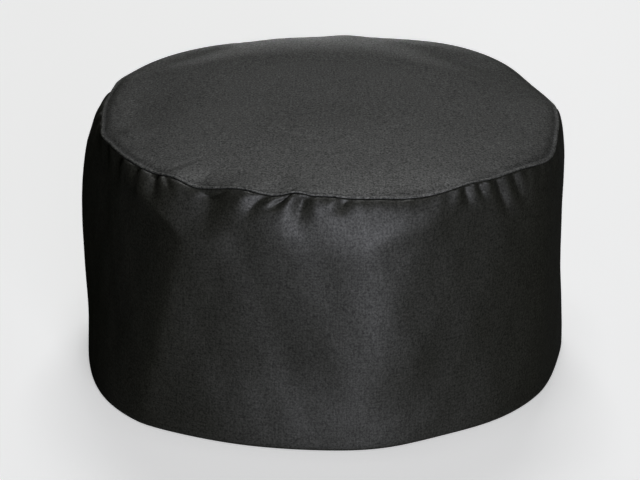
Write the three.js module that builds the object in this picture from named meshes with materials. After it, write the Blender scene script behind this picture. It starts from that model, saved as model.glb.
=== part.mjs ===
// A baker's hat: a tall side band of black cloth, gathered at the top to a flat crown, standing on its rim.
// Millimetres, +Z up. Directions round the hat are degrees seen from above: 0 at the front (-Y), 90 at the
// right (+X). Heights along the band run from 0 at the rim to 1 at the crown seam.
import * as THREE from 'three';

// Outlines seen from above, as rounded ovals
const RIM = { halfWidth: 93.6, halfDepth: 97.6, squareness: 2.2, shiftX: 0.5 };
const SEAM = { halfWidth: 88.6, halfDepth: 91.6, squareness: 2.2, shiftX: 3.9 };

// Heights and cloth
const SEAM_HEIGHT = 99;
const CROWN_RISE = 4.2;
const CROWN_ROUNDING = 6;
const BAND_CLOTH = 1.4;
const CROWN_CLOTH = 1.1;
const SEAM_GAP = 0.3;
const ALLOWANCE_WIDTH = 7;
const HEM = { height: 22, thickness: 2.6, step: 0.8, edge: 0.7 };

// How fast the waves of the seam settle on the way in over the crown
const WAVES_FADE = 13;

// The swell of the wall at half height, the way its top leans to the right, and the shoulder that turns
// in to the seam, taller at the left
const BELLY = 0.8;
const TOP_SHIFT_X = 1.2;
const SHOULDER = { height: 28, extra: 12, at: -95, spread: 45, roundness: 2.2 };

// The crown's rolled edge and the stitched ditch inside it: mm inside the seam and mm over the crown's
// underside
const CROWN_EDGE = [
  { inside: 0, above: 0 },
  { inside: -0.4, above: 0.55 },
  { inside: 0.45, above: 1.25 },
  { inside: 1.1, above: 1.2 },
  { inside: 2.2, above: 0.75 },
  { inside: 4.5, above: 1.1 },
];

// Broad fullness of the wall: mm outwards at the rim, at half height and at the shoulder, and where these
// give way to each other on the way up
const FULLNESS = [
  { place: 'left side', at: -80, spread: 25, low: 0.9, middle: 1.8, high: 0.9 },
  { place: 'left front', at: -55, spread: 19, low: 2.8, middle: 0.8, high: 0.3 },
  { place: 'front', at: 0, spread: 20, low: 1.4, middle: 1.2, high: 1.2 },
  { place: 'right front', at: 27, spread: 14, low: -2.6, middle: -0.8, high: 0 },
  { place: 'right side', at: 95, spread: 13, low: 2.8, middle: -1, high: 1.2 },
  { place: 'back right', at: 122, spread: 20, low: 0, middle: 0, high: -2 },
];
const FULLNESS_CHANGES = { lowEnds: 0.5, highStarts: 0.45, highIsFull: 0.85 };

// Soft bends of the wall, in degrees at the rim, high up and at the seam; how flat the stretch after each
// one is, and how softly the wall turns at it. Each bend leaves its high line for its top between two
// heights
const BENDS = [
  { place: 'left side', low: -100, high: -92, top: -92, flatness: 0.5, rounding: 0.3 },
  { place: 'left front', low: -43, high: -29, top: -44, flatness: 0.58, rounding: 0.18 },
  { place: 'right front', low: 19, high: 12, top: 19, flatness: 0.4, rounding: 0.7 },
  { place: 'right', low: 64, high: 58, top: 58, flatness: 0.15, rounding: 0.5 },
  { place: 'right side', low: 92, high: 94, top: 94, flatness: 0.12, rounding: 0.5 },
  { place: 'back right', low: 140, high: 136, top: 136, flatness: 0.12, rounding: 0.5 },
  { place: 'back', low: 184, high: 186, top: 186, flatness: 0.12, rounding: 0.5 },
  { place: 'back left', low: 226, high: 230, top: 230, flatness: 0.15, rounding: 0.5 },
];
const BEND_TURNS = { starts: 0.8, ends: 0.96 };
const BEND_RADIUS = 95;
const FLATNESS_AT_RIM = 0.35;
const FLATNESS_GROWS_TO = 0.35;

// Shallow dents of the wall, or swellings with a depth below 0: direction, height in mm, half sizes in
// degrees and mm, depth in mm
const WALL_DENTS = [
  { at: -40, height: 93, across: 5, tall: 10, depth: -0.8 },
  { at: -9, height: 88, across: 8, tall: 12, depth: -0.9 },
  { at: -13, height: 46, across: 7, tall: 14, depth: 0.5 },
  { at: 20, height: 38, across: 6, tall: 10, depth: -0.6 },
  { at: 15, height: 16, across: 6, tall: 10, depth: 0.6 },
  { at: -30, height: 10, across: 8, tall: 8, depth: 0.6 },
  { at: 70, height: 60, across: 9, tall: 16, depth: 0.7 },
  { at: 155, height: 55, across: 10, tall: 18, depth: 1 },
  { at: -140, height: 40, across: 9, tall: 16, depth: 1 },
];

// Rises, dips and corners along the crown seam, in mm upwards and outwards
const SEAM_WAVES = [
  { at: 180, spread: 75, up: -1.3, out: 0 },
  { at: -135, spread: 22, up: 0, out: 1 },
  { at: -74, spread: 5, up: -0.4, out: 1.2 },
  { at: -54, spread: 4, up: 0.2, out: 0 },
  { at: -39, spread: 4, up: 1.2, out: 0 },
  { at: -32, spread: 3, up: -0.6, out: 0 },
  { at: -21, spread: 6, up: 2, out: 0 },
  { at: -8, spread: 3.5, up: 2.2, out: 0 },
  { at: -1, spread: 4, up: 1, out: 0 },
  { at: 20, spread: 8, up: -1.2, out: 0 },
  { at: 33, spread: 5, up: 0.8, out: 0 },
  { at: 61, spread: 9, up: -1.9, out: 3 },
  { at: 92, spread: 5, up: 0.8, out: 0 },
  { at: 113, spread: 16, up: -0.6, out: -3.8 },
  { at: 150, spread: 14, up: 0.4, out: 1.5 },
  { at: 176, spread: 6, up: 1, out: 0 },
  { at: -158, spread: 6, up: -0.8, out: 0 },
  { at: -112, spread: 6, up: 0.9, out: 0 },
];

// Gathers under the seam at the front: where each starts, its lean in degrees on the way down, its length
// down the cloth in mm, its half width in degrees and its depth in mm
const FRONT_GATHERS = [
  { at: -69, lean: 1, length: 15, width: 2.1, depth: 0.8 },
  { at: -59.5, lean: -1, length: 16, width: 2.2, depth: 1 },
  { at: -51, lean: 2, length: 14, width: 2, depth: 0.8 },
  { at: -43.8, lean: 3.5, length: 20, width: 2, depth: 1.5 },
  { at: -27, lean: 2, length: 42, width: 6, depth: 1.9 },
  { at: -15, lean: -3.8, length: 18, width: 2.1, depth: 1.4 },
  { at: -9.5, lean: -4, length: 10, width: 2, depth: 1 },
  { at: -5, lean: -1, length: 21, width: 2, depth: 1.8 },
  { at: 4, lean: -2.5, length: 9, width: 2, depth: 1 },
  { at: 33, lean: 2.5, length: 14, width: 2, depth: 1.6 },
  { at: 41.8, lean: 5.2, length: 25, width: 2, depth: 1.6 },
  { at: 47.5, lean: 5, length: 22, width: 2, depth: 1.4 },
];

// Gathers of the same kind spread evenly over the sides and back, each a little unlike the last: their
// usual sizes, how much each size strays, and how fast it strays from one to the next
const OTHER_GATHERS = { count: 21, first: 66, pitch: 10.4, length: 17, width: 2.3, depth: 1.3 };
const STRAY = { place: 2.2, lean: 3, length: 5, width: 0.35, depth: 0.45 };
const STRAY_RATE = { place: 2.4, lean: 1.7, length: 3.1, width: 1.9, depth: 5.3 };

// The length over which a gather deepens below the seam, and the stretch where it then keeps its depth
const GATHER_START = 1.6;
const GATHER_KEEPS = 0.25;

// Soft hollows and folds of the crown: centre, half length, half width, turn in degrees, mm upwards. They
// fade out near the seam, between these parts of the way in from it
const CROWN_FOLDS = [
  { x: -68, y: 2, length: 34, width: 16, turn: 80, up: -1.3 },
  { x: -76, y: -28, length: 11, width: 4, turn: -30, up: 0.9 },
  { x: -50, y: 60, length: 24, width: 8, turn: 40, up: -0.8 },
  { x: 52, y: 54, length: 34, width: 9, turn: -38, up: -0.8 },
  { x: 66, y: -20, length: 30, width: 16, turn: 75, up: -0.4 },
  { x: 8, y: -30, length: 30, width: 22, turn: 10, up: 0.6 },
];
const CROWN_FOLDS_FADE = { from: 0.16, to: 0.02 };

// Points round a ring: many near the seam, where the gathers are, and half as many elsewhere
const FINE = 144;
const COARSE = 72;

// Steps up the wall outside and inside, as parts of the seam height, split where the fine rings begin
const OUTER_LOW = [0.13, 0.28, 0.43, 0.57];
const OUTER_HIGH = [0.67, 0.75, 0.81, 0.86, 0.9, 0.933, 0.96, 0.98, 0.993];
const INNER_LOW = [0.36, 0.55];
const INNER_HIGH = [0.69, 0.8, 0.88, 0.94, 0.98];

// Steps over and under the crown, as parts of the way from the seam to the middle
const OVER_FINE = [0.075, 0.12, 0.18, 0.27];
const OVER_COARSE = [0.4, 0.58, 0.79];
const UNDER_FINE = [0.075, 0.16];
const UNDER_COARSE = [0.3, 0.6];

// Short steps over which the wall's slope is measured, in degrees round it and as a part of its height
const SLOPE_STEP = { round: 0.5, up: 0.004 };

const CLOTH_COLOUR = 0x2b2b2c;
const ROUGHNESS = { band: 0.92, crown: 0.9 };

const { clamp, degToRad, euclideanModulo, lerp, smoothstep } = THREE.MathUtils;

function sum(rows, value) {
  return rows.reduce((total, row) => total + value(row), 0);
}

// 1 at the given direction, falling to 0 to both sides of it
function bell(degrees, at, spread) {
  const away = euclideanModulo(degrees - at + 180, 360) - 180;
  return Math.exp(-((away / spread) ** 2));
}

// The distance from the middle to a rounded oval
function ovalRadius(degrees, oval) {
  const across = Math.abs(Math.sin(degToRad(degrees)) / oval.halfWidth) ** oval.squareness;
  const along = Math.abs(Math.cos(degToRad(degrees)) / oval.halfDepth) ** oval.squareness;
  return (across + along) ** (-1 / oval.squareness);
}

function pointAt(degrees, radius, shiftX, height) {
  const angle = degToRad(degrees);
  return new THREE.Vector3(radius * Math.sin(angle) + shiftX, -radius * Math.cos(angle), height);
}

// The seam between band and crown; an inset gives the same line on the inner face of the band
function seamPoint(degrees, inset = 0) {
  const out = sum(SEAM_WAVES, (wave) => wave.out * bell(degrees, wave.at, wave.spread));
  const up = sum(SEAM_WAVES, (wave) => wave.up * bell(degrees, wave.at, wave.spread));
  return pointAt(degrees, ovalRadius(degrees, SEAM) + out - inset, SEAM.shiftX, SEAM_HEIGHT + up - inset);
}

function fullness(degrees, t) {
  const low = 1 - smoothstep(t, 0, FULLNESS_CHANGES.lowEnds);
  const high = smoothstep(t, FULLNESS_CHANGES.highStarts, FULLNESS_CHANGES.highIsFull);
  const middle = 1 - low - high;
  return sum(FULLNESS, (row) => {
    return bell(degrees, row.at, row.spread) * (row.low * low + row.middle * middle + row.high * high);
  });
}

// Where a bend stands at a part of the height
function bendAt(bend, t) {
  return lerp(bend.low, bend.high, t) + (bend.top - bend.high) * smoothstep(t, BEND_TURNS.starts, BEND_TURNS.ends);
}

// How far a stretch between two bends lies inside the round of the wall. Its depth comes from the stretch's
// usual width, so it doesn't change where the bends turn
function flattening(degrees, t) {
  const grown = lerp(FLATNESS_AT_RIM, 1, smoothstep(t, 0, FLATNESS_GROWS_TO));
  let inwards = 0;
  BENDS.forEach((bend, index) => {
    const next = BENDS[(index + 1) % BENDS.length];
    const from = bendAt(bend, t);
    const along = euclideanModulo(degrees - from, 360) / euclideanModulo(bendAt(next, t) - from, 360);
    if (along < 1) {
      const usualSpan = euclideanModulo(lerp(next.low - bend.low, next.high - bend.high, t), 360);
      const sagitta = BEND_RADIUS * (1 - Math.cos(degToRad(usualSpan / 2)));
      const arch = 4 * along * (1 - along);
      const rounding = lerp(bend.rounding, next.rounding, along);
      const rounded = (Math.hypot(arch, rounding) - rounding) / (Math.hypot(1, rounding) - rounding);
      inwards = bend.flatness * sagitta * rounded;
    }
  });
  return inwards * grown;
}

function dents(degrees, height) {
  return sum(WALL_DENTS, (dent) => {
    const upright = Math.exp(-(((height - dent.height) / dent.tall) ** 2));
    return dent.depth * bell(degrees, dent.at, dent.across) * upright;
  });
}

// The smooth wall, before its gathers
function wallPoint(degrees, t, inset = 0) {
  const seam = seamPoint(degrees, inset);
  const height = seam.z * t;
  const swell = fullness(degrees, t) - flattening(degrees, t) + BELLY * Math.sin(Math.PI * t);
  const radius = ovalRadius(degrees, RIM) + swell - dents(degrees, height) - inset;
  const shiftX = lerp(RIM.shiftX, TOP_SHIFT_X, t);
  const point = pointAt(degrees, radius, shiftX, height);
  const shoulder = SHOULDER.height + SHOULDER.extra * bell(degrees, SHOULDER.at, SHOULDER.spread);
  const into = clamp(1 - (seam.z - height) / shoulder, 0, 1);
  const turnedIn = 1 - Math.sqrt(1 - into ** SHOULDER.roundness);
  point.x = lerp(point.x, seam.x, turnedIn);
  point.y = lerp(point.y, seam.y, turnedIn);
  return point;
}

function otherGathers() {
  const { count, first, pitch, length, width, depth } = OTHER_GATHERS;
  const stray = (size, n) => STRAY[size] * Math.sin(STRAY_RATE[size] * n);
  return Array.from({ length: count }, (_, n) => ({
    at: first + pitch * n + stray('place', n),
    lean: stray('lean', n),
    length: length + stray('length', n),
    width: width + stray('width', n),
    depth: depth + stray('depth', n),
  }));
}

const GATHERS = [...FRONT_GATHERS, ...otherGathers()];

// Depth of the gathers at a distance down the cloth from the seam
function gatherDepth(degrees, down) {
  return sum(GATHERS, (row) => {
    const at = row.at + row.lean * (down / row.length);
    const begun = smoothstep(down, 0, GATHER_START);
    const ended = smoothstep(down, GATHER_KEEPS * row.length, row.length);
    return row.depth * begun * (1 - ended) * bell(degrees, at, row.width);
  });
}

// The wall's outer face, or with an inset its inner face, with the gathers pressed in square to the cloth
function bandPoint(degrees, t, inset = 0) {
  const base = wallPoint(degrees, t);
  const onwards = wallPoint(degrees + SLOPE_STEP.round, t).sub(wallPoint(degrees - SLOPE_STEP.round, t));
  const above = wallPoint(degrees, Math.min(t + SLOPE_STEP.up, 1));
  const upwards = above.sub(wallPoint(degrees, t - SLOPE_STEP.up));
  const outwards = onwards.cross(upwards).normalize();
  const seam = seamPoint(degrees);
  const down = seam.z - base.z + Math.hypot(seam.x - base.x, seam.y - base.y);
  return wallPoint(degrees, t, inset).addScaledVector(outwards, -gatherDepth(degrees, down));
}

// How far the crown has settled on the way in, from 0 at the seam to 1 at the middle
function crownEase(inwards, power) {
  return 1 - (1 - inwards) ** power;
}

function crownFolds(x, y) {
  return sum(CROWN_FOLDS, (fold) => {
    const turn = degToRad(fold.turn);
    const along = (x - fold.x) * Math.cos(turn) + (y - fold.y) * Math.sin(turn);
    const aside = (y - fold.y) * Math.cos(turn) - (x - fold.x) * Math.sin(turn);
    return fold.up * Math.exp(-((along / fold.length) ** 2) - ((aside / fold.width) ** 2));
  });
}

// The crown's underside, without the folds where it lies on the band's allowance
function crownPoint(degrees, inwards, above = 0) {
  const point = seamPoint(degrees);
  point.x *= 1 - inwards;
  point.y *= 1 - inwards;
  point.z = lerp(point.z, SEAM_HEIGHT, crownEase(inwards, WAVES_FADE));
  point.z += CROWN_RISE * crownEase(inwards, CROWN_ROUNDING) + above;
  point.z += crownFolds(point.x, point.y) * smoothstep(inwards, CROWN_FOLDS_FADE.to, CROWN_FOLDS_FADE.from);
  return point;
}

// A point near the crown's edge, by its distance inside the seam and its height over the crown's underside
function edgePoint(degrees, inside, above) {
  const radius = Math.hypot(seamPoint(degrees).x, seamPoint(degrees).y);
  return crownPoint(degrees, inside / radius, SEAM_GAP + above);
}

function ring(count, place) {
  return Array.from({ length: count }, (_, n) => place(360 * n / count));
}

// Triangles between two rings, where one may have twice the points of the other or be a single point
function joinRings(lower, upper, add) {
  const count = Math.max(lower.length, upper.length);
  for (let n = 0; n < count; n += 1) {
    const from = (points) => points[Math.floor(n * points.length / count)];
    const to = (points) => points[Math.floor((n + 1) * points.length / count) % points.length];
    const corners = [from(lower), to(lower), to(upper), from(upper)];
    add(corners[0], corners[1], corners[2]);
    add(corners[0], corners[2], corners[3]);
  }
}

// One closed body through a list of rings; the last joins the first unless both are single points
function bodyThrough(rings) {
  const positions = [];
  const index = [];
  const numbered = rings.map((points) => points.map((point) => {
    positions.push(point.x, point.y, point.z);
    return positions.length / 3 - 1;
  }));
  const add = (a, b, c) => {
    if (a !== b && b !== c && c !== a) {
      index.push(a, b, c);
    }
  };
  const last = rings.at(-1).length === 1 ? numbered.length - 1 : numbered.length;
  for (let n = 0; n < last; n += 1) {
    joinRings(numbered[n], numbered[(n + 1) % numbered.length], add);
  }
  const geometry = new THREE.BufferGeometry();
  geometry.setAttribute('position', new THREE.Float32BufferAttribute(positions, 3));
  geometry.setIndex(index);
  geometry.computeVertexNormals();
  return geometry;
}

function cloth(name, geometry, roughness) {
  const material = new THREE.MeshStandardMaterial({ color: CLOTH_COLOUR, roughness, metalness: 0 });
  material.name = `${name}_cloth`;
  const mesh = new THREE.Mesh(geometry, material);
  mesh.name = name;
  return mesh;
}

// The band: up the outside from the rim, in over the allowance, and down the inside to the turned-up hem
function sideBand() {
  const outside = (degrees, t) => bandPoint(degrees, t);
  const inside = (degrees, t) => bandPoint(degrees, t, BAND_CLOTH);
  const hem = (degrees, height, depth) => {
    const point = wallPoint(degrees, height / SEAM_HEIGHT, depth);
    point.z = height;
    return point;
  };
  const allowance = (degrees, above) => edgePoint(degrees, ALLOWANCE_WIDTH, above - SEAM_GAP);
  return cloth('side_band', bodyThrough([
    ring(COARSE, (degrees) => hem(degrees, 0, HEM.edge)),
    ring(COARSE, (degrees) => hem(degrees, HEM.edge, 0)),
    ...OUTER_LOW.map((t) => ring(COARSE, (degrees) => outside(degrees, t))),
    ...OUTER_HIGH.map((t) => ring(FINE, (degrees) => outside(degrees, t))),
    ring(FINE, (degrees) => seamPoint(degrees)),
    ring(FINE, (degrees) => allowance(degrees, 0)),
    ring(FINE, (degrees) => allowance(degrees, -BAND_CLOTH)),
    ring(FINE, (degrees) => seamPoint(degrees, BAND_CLOTH)),
    ...INNER_HIGH.toReversed().map((t) => ring(FINE, (degrees) => inside(degrees, t))),
    ...INNER_LOW.toReversed().map((t) => ring(COARSE, (degrees) => inside(degrees, t))),
    ring(COARSE, (degrees) => hem(degrees, HEM.height + HEM.step, BAND_CLOTH)),
    ring(COARSE, (degrees) => hem(degrees, HEM.height, HEM.thickness)),
    ring(COARSE, (degrees) => hem(degrees, HEM.edge, HEM.thickness)),
    ring(COARSE, (degrees) => hem(degrees, 0, HEM.thickness - HEM.edge)),
  ]), ROUGHNESS.band);
}

// The crown: out under the cloth from the middle, round the rolled edge, and back over the top
function crown() {
  const under = (degrees, inwards) => crownPoint(degrees, inwards, SEAM_GAP);
  const over = (degrees, inwards) => crownPoint(degrees, inwards, SEAM_GAP + CROWN_CLOTH);
  const middle = (above) => [crownPoint(0, 1, above)];
  return cloth('crown', bodyThrough([
    middle(SEAM_GAP),
    ...UNDER_COARSE.toReversed().map((inwards) => ring(COARSE, (degrees) => under(degrees, inwards))),
    ...UNDER_FINE.toReversed().map((inwards) => ring(FINE, (degrees) => under(degrees, inwards))),
    ...CROWN_EDGE.map((row) => ring(FINE, (degrees) => edgePoint(degrees, row.inside, row.above))),
    ...OVER_FINE.map((inwards) => ring(FINE, (degrees) => over(degrees, inwards))),
    ...OVER_COARSE.map((inwards) => ring(COARSE, (degrees) => over(degrees, inwards))),
    middle(SEAM_GAP + CROWN_CLOTH),
  ]), ROUGHNESS.crown);
}

// The whole hat, moved so that the middle of its box stands on the origin
const hat = new THREE.Group();
hat.add(sideBand(), crown());
const box = new THREE.Box3().setFromObject(hat);
hat.position.set(-(box.min.x + box.max.x) / 2, -(box.min.y + box.max.y) / 2, -box.min.z);

export default hat;
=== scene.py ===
"""A black baker hat in soft cloth: a tall side band gathered to a flat crown, standing on its rim.

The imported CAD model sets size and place. Both of its cloth solids are replaced by finer sheets of the same
shape, with crisper gathers, a rolled and top-stitched crown edge and a turned-up hem. Lengths in the tables
are millimetres, and directions are degrees seen from above: 0 at the front (-Y), 90 at the right (+X).
"""

import logging
import math
from collections.abc import Sequence
from dataclasses import dataclass, field
from enum import Enum
from typing import TypeVar

import bpy
import numpy as np
from mathutils import Matrix, Vector


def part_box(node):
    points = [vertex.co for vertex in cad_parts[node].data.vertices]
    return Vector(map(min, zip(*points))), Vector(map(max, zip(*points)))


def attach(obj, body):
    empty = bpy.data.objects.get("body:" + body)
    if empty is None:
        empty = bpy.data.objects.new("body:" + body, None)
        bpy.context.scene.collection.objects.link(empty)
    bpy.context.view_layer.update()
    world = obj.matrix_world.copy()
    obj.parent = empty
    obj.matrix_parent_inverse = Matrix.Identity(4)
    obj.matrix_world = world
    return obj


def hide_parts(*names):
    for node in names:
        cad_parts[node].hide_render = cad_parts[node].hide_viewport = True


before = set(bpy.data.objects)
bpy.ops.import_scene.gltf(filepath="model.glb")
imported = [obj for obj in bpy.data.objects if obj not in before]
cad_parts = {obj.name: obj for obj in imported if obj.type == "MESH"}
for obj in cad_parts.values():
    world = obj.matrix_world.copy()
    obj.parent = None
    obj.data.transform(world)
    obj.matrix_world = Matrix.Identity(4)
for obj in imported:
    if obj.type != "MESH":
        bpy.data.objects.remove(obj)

Array = np.ndarray
Point = tuple[float, float]
Colour = tuple[float, float, float]
Output = bpy.types.NodeSocket
Inputs = dict[str | int, object]
Row = tuple[float, ...]
Kind = TypeVar("Kind")

LOG = logging.getLogger("baker_hat")
MM = 0.001
TINY = 1e-9
CLOTH_MAP = "cloth"
PALED_EDGE = "paled_edge"

# Places of the colours among the sockets of a Mix node
MIX_FIRST, MIX_SECOND, MIX_RESULT = 6, 7, 2


# Small sums


def bell(degrees: Array, at: float, spread: float) -> Array:
    """A soft bump of height 1 round the hat.

    Args:
        degrees: Directions.
        at: The direction of the top.
        spread: How far from it the bump has fallen to about a third, in degrees.

    Returns:
        The height of the bump at each direction.
    """
    away = (degrees - at + 180) % 360 - 180
    return np.exp(-((away / spread) ** 2))


def smooth(value: Array, start: float | Array, end: float | Array) -> Array:
    """A soft step.

    Args:
        value: Where to read the step.
        start: Where it leaves 0.
        end: Where it reaches 1.

    Returns:
        The height of the step, from 0 to 1.
    """
    part = np.clip((value - start) / (end - start), 0, 1)
    return part * part * (3 - 2 * part)


def lerp(start: float | Array, end: float | Array, part: float | Array) -> float | Array:
    """The value a part of the way from start to end."""
    return start + (end - start) * part


def place(degrees: Array, radius: Array, shift_x: float | Array, height: Array) -> Array:
    """Points round the hat.

    Args:
        degrees: Directions.
        radius: Distances from the middle.
        shift_x: How far the middle itself lies to the right.
        height: Heights over the floor.

    Returns:
        An array of points, whose last axis is x, y, z.
    """
    angle = np.radians(degrees)
    parts = radius * np.sin(angle) + shift_x, -radius * np.cos(angle), height
    return np.stack(np.broadcast_arrays(*parts), -1).astype(float)


# Rows of the shape tables


@dataclass(frozen=True)
class Oval:
    """A rounded oval outline seen from above."""

    half_width: float
    half_depth: float
    squareness: float
    shift_x: float

    def radius(self, degrees: Array) -> Array:
        """The distance from its middle to the outline.

        Args:
            degrees: Directions.

        Returns:
            The distance in each direction.
        """
        angle = np.radians(degrees)
        across = np.abs(np.sin(angle) / self.half_width) ** self.squareness
        along = np.abs(np.cos(angle) / self.half_depth) ** self.squareness
        return (across + along) ** (-1 / self.squareness)


@dataclass(frozen=True)
class Fullness:
    """Broad fullness of the wall: mm outwards at the rim, at half height and at the shoulder."""

    at: float
    spread: float
    low: float
    middle: float
    high: float


@dataclass(frozen=True)
class Bend:
    """A soft upright bend of the wall.

    Attributes:
        low: Its direction in degrees at the rim.
        high: Its direction high up on the wall.
        top: Its direction at the seam.
        flatness: How flat the stretch after it is, from 0 for round to 1 for flat.
        rounding: How softly the wall turns at it, from 0 for a corner.
    """

    low: float
    high: float
    top: float
    flatness: float
    rounding: float

    def at(self, t: Array, turns: Point) -> Array:
        """Its direction at a part t of the height, turning to its top between two parts of the height."""
        return lerp(self.low, self.high, t) + (self.top - self.high) * smooth(t, *turns)


@dataclass(frozen=True)
class Dent:
    """A shallow dent of the wall, or a swelling with a depth below 0: place, half sizes and depth."""

    at: float
    height: float
    across: float
    tall: float
    depth: float

    def shown(self, degrees: Array, height: Array) -> Array:
        """Its depth at each direction and height."""
        upright = np.exp(-(((height - self.height) / self.tall) ** 2))
        return self.depth * bell(degrees, self.at, self.across) * upright


@dataclass(frozen=True)
class SeamWave:
    """A rise, dip or corner of the crown seam, in mm upwards and outwards."""

    at: float
    spread: float
    up: float
    out: float


@dataclass(frozen=True)
class Gather:
    """A gather under the seam: start, lean on the way down, length down the cloth, half width and depth.

    Its right side is as wide as its left one times right_side.
    """

    at: float
    lean: float
    length: float
    width: float
    depth: float
    right_side: float = 1.0


@dataclass(frozen=True)
class Fold:
    """A soft hollow or fold of the crown: centre, half length, half width, turn in degrees and mm upwards."""

    x: float
    y: float
    length: float
    width: float
    turn: float
    up: float

    def rise(self, x: Array, y: Array) -> Array:
        """Its height over the crown.

        Args:
            x: How far to the right each point lies.
            y: How far to the back.

        Returns:
            The height at each point.
        """
        turn = math.radians(self.turn)
        along = (x - self.x) * math.cos(turn) + (y - self.y) * math.sin(turn)
        aside = (y - self.y) * math.cos(turn) - (x - self.x) * math.sin(turn)
        return self.up * np.exp(-((along / self.length) ** 2) - (aside / self.width) ** 2)


@dataclass(frozen=True)
class Pucker:
    """Uneven small puckers round a seam: how many, how often they crowd and how much, and their height."""

    count: int
    crowds: int
    crowding: float
    height: float


@dataclass(frozen=True)
class Ripple:
    """A long faint ripple of the cloth: waves round the hat, waves up it, a start and mm outwards."""

    round: float
    upright: float
    start: float
    out: float


def table(kind: type[Kind], columns: str, *rows: Row) -> tuple[Kind, ...]:
    """The rows of a shape table, with the kind's fields that its columns stand for."""
    return tuple(kind(**dict(zip(columns.split(), row))) for row in rows)


FULLNESS = table(
    Fullness,
    "at spread low middle high",
    (-80, 25, 0.9, 1.8, 0.9),
    (-55, 19, 2.8, 0.8, 0.3),
    (-19, 12, 0.4, 1, 1),
    (0, 20, 1.4, 1.2, 1.2),
    (27, 14, -2.6, -0.8, 0),
    (95, 13, 2.8, -1, 1.2),
    (122, 20, 0, 0, -2),
)

BENDS = table(
    Bend,
    "low high top flatness rounding",
    (-100, -92, -92, 0.55, 0.2),
    (-43, -29, -44, 0.58, 0.13),
    (16, 8, 16, 0.4, 0.9),
    (64, 58, 58, 0.15, 0.5),
    (92, 94, 94, 0.12, 0.5),
    (140, 136, 136, 0.12, 0.5),
    (184, 186, 186, 0.12, 0.5),
    (226, 230, 230, 0.15, 0.5),
)

DENTS = table(
    Dent,
    "at height across tall depth",
    (-40, 93, 5, 10, -0.8),
    (-11, 87, 5, 10, -0.8),
    (14, 88, 14, 11, -1.1),
    (-13, 46, 7, 14, 0.5),
    (20, 38, 6, 10, -0.6),
    (15, 16, 6, 10, 0.6),
    (-30, 10, 8, 8, 0.6),
    (70, 60, 9, 16, 0.7),
    (155, 55, 10, 18, 1),
    (-140, 40, 9, 16, 1),
)

SEAM_WAVES = table(
    SeamWave,
    "at spread up out",
    (180, 75, -1.3, 0),
    (-135, 22, 0, 1),
    (-74, 5, -0.4, 1.2),
    (-54, 4, 0.2, 0),
    (-39, 4, 1.2, 0),
    (-32, 3, -0.6, 0),
    (-21, 6, 2, 0),
    (-8, 3.5, 2.2, 0),
    (-1, 4, 1, 0),
    (20, 8, -1.2, 0),
    (33, 5, 0.8, 0),
    (61, 9, -1.9, 3),
    (92, 5, 0.8, 0),
    (113, 16, -0.6, -3.8),
    (150, 14, 0.4, 1.5),
    (176, 6, 1, 0),
    (-158, 6, -0.8, 0),
    (-112, 6, 0.9, 0),
)

# A depth below 0 is a ridge that stands out between two gathers, and one row has a wider right side
FRONT_GATHERS = table(
    Gather,
    "at lean length width depth right_side",
    (-69, 1, 15, 1.8, 0.8),
    (-65, 1, 10, 1.5, -0.5),
    (-59.5, -1, 16, 1.9, 1),
    (-54, -1.5, 9, 1.7, -0.8),
    (-50.5, 2, 14, 1.6, 0.8),
    (-48, 3.5, 24, 2.2, -0.7),
    (-43.8, 3.5, 20, 1.6, 1.6),
    (-40.8, 4, 9, 1.1, 0.8),
    (-28.7, 1.4, 9, 1.6, 1.3),
    (-27.6, 1.5, 34, 5, 2.3, 1.2),
    (-20.8, 0, 5, 1.3, 0.6),
    (-15, -3.8, 18, 1.8, 1.5),
    (-9, -4.6, 10, 1.3, 1.5),
    (-5.5, -1, 21, 1.8, 1.9),
    (3.6, -1.6, 11, 1.7, 1.4),
    (32.4, 2.2, 14, 1.5, 1.7),
    (36, 3.4, 12, 1.1, 1.2),
    (38.7, 2, 12, 1.5, -0.4),
    (41.8, 5.2, 22, 1.4, 1.7),
    (47, 5, 19, 1.5, 1.35),
    (52.6, 2.5, 18, 1.6, -0.3),
)

CROWN_FOLDS = table(
    Fold,
    "x y length width turn up",
    (-68, 2, 34, 16, 80, -1.3),
    (-76, -28, 11, 4, -30, 0.9),
    (-50, 60, 24, 8, 40, -0.8),
    (52, 54, 34, 9, -38, -0.8),
    (66, -20, 30, 16, 75, -0.4),
    (8, -30, 30, 22, 10, 0.6),
)

# Short sharp creases of the crown near its seam
CROWN_CREASES = table(
    Fold,
    "x y length width turn up",
    (-79, -25.6, 6, 1.6, -33, -0.35),
    (-10.2, -88.3, 4.5, 1.4, 49, -0.35),
    (-51, -63, 9, 1.8, 30, -0.22),
    (44, -76, 5, 1.5, -60, -0.12),
)

WALL_CRIMPS = table(
    Pucker,
    "count crowds crowding height",
    (61, 7, 2, 1),
    (97, 5, 3, 0.7),
)

CROWN_PUCKERS = table(
    Pucker,
    "count crowds crowding height",
    (73, 9, 2, 1),
    (113, 4, 3, 0.6),
)

RIPPLES = table(
    Ripple,
    "round upright start out",
    (9, 0.6, 0.4, 0.16),
    (14, -1.1, 2.1, 0.14),
    (21, 1.4, 4.0, 0.09),
    (31, -2.2, 1.1, 0.055),
    (43, 2.7, 5.2, 0.035),
)


def puckers(degrees: Array, rows: Sequence[Pucker]) -> Array:
    """Small puckers round a seam.

    Args:
        degrees: Directions.
        rows: The sets of puckers that lie over each other.

    Returns:
        Their height, from about -2 to 2.
    """
    turn = np.radians(degrees)
    return sum(
        row.height * np.sin(row.count * turn + row.crowding * np.sin(row.crowds * turn)) for row in rows
    )


# The shape that both cloth pieces share


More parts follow.
